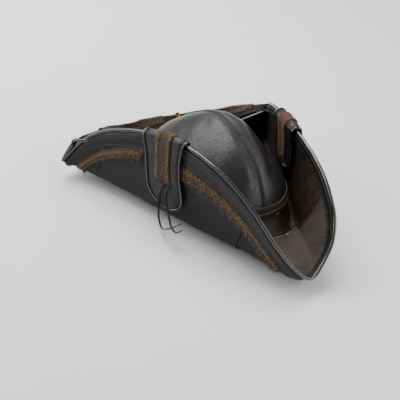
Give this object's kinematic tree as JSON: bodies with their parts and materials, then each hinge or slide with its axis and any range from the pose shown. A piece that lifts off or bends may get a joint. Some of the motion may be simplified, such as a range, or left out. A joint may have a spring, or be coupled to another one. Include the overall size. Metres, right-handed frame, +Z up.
{
  "type": "pirate hat",
  "caption": "Black leather tricorn with a round crown, three upturned brim sides, braid and gold zigzag trim, strap tabs over the rims and hanging lace tails",
  "frame": {"origin": "middle of the head opening, level with the foot of the crown", "axes": "+Z up along the crown, the front point towards -Y, the wearer's right side towards -X"},
  "size_m": [0.368, 0.3476, 0.1138],
  "materials": {
    "crown_leather": "worn charcoal leather with a soft sheen",
    "brim_leather": "smooth black leather, slightly creased",
    "worn_leather": "brushed leather worn to brown",
    "binding_leather": "polished black leather roll",
    "border_leather": "black leather strip with stitched edges",
    "tab_leather": "soft black leather strap",
    "band_leather": "dull mauve-brown leather strand",
    "sweat_leather": "smooth dark brown leather",
    "lining_cloth": "plain black woven cloth",
    "lace_leather": "dark brown thong",
    "brown_braid": "coarse woven braid with frayed edges",
    "left_braid": "coarse woven braid, redder brown",
    "gold_thread": "twisted dull gold thread",
    "seam_thread": "waxed grey thread",
    "brass": "tarnished brass",
    "rim_wire": "plain drawn steel"
  },
  "bodies": {
    "hat": {"crown_right_panel": "crown_leather", "crown_left_panel": "crown_leather", "crown_seam_strip": "crown_leather", "crown_seam_stitches": "seam_thread", "crown_lining": "lining_cloth", "sweatband": "sweat_leather", "hat_band_lower": "band_leather", "hat_band_upper": "band_leather", "brim_front_panel": "worn_leather", "brim_front_floor": "brim_leather", "brim_right_panel": "brim_leather", "brim_left_panel": "brim_leather", "brim_back_panel": "brim_leather", "rim_binding": "binding_leather", "rim_wire": "rim_wire", "right_border": "border_leather", "left_border": "border_leather", "back_border": "border_leather", "right_front_braid": "brown_braid", "right_rear_braid": "brown_braid", "left_front_braid": "left_braid", "left_rear_braid": "left_braid", "back_braid": "brown_braid", "right_front_zigzag": "gold_thread", "right_rear_zigzag": "gold_thread", "left_front_zigzag": "gold_thread", "left_rear_zigzag": "gold_thread", "back_zigzag": "gold_thread", "right_tab": "tab_leather", "left_tab": "tab_leather", "right_tab_piping": "binding_leather", "left_tab_piping": "binding_leather", "right_tab_braid": "brown_braid", "left_tab_braid": "left_braid", "right_tab_zigzags": "gold_thread", "left_tab_zigzags": "gold_thread", "back_eyelets": "brass", "right_lace": "lace_leather", "left_lace": "lace_leather"},
    "right_tails": {"right_front_tail": "lace_leather", "right_rear_tail": "lace_leather"},
    "left_tails": {"left_front_tail": "lace_leather", "left_rear_tail": "lace_leather"}
  },
  "joints": [
    {"name": "right_tails_swing", "type": "hinge", "parent": "hat", "child": "right_tails", "pos_m": [-0.1175, -0.035, 0.023], "axis": [0, 1, 0], "range_deg": [0, 70]},
    {"name": "left_tails_swing", "type": "hinge", "parent": "hat", "child": "left_tails", "pos_m": [0.1126, -0.048, 0.023], "axis": [0, -1, 0], "range_deg": [0, 70]}
  ]
}
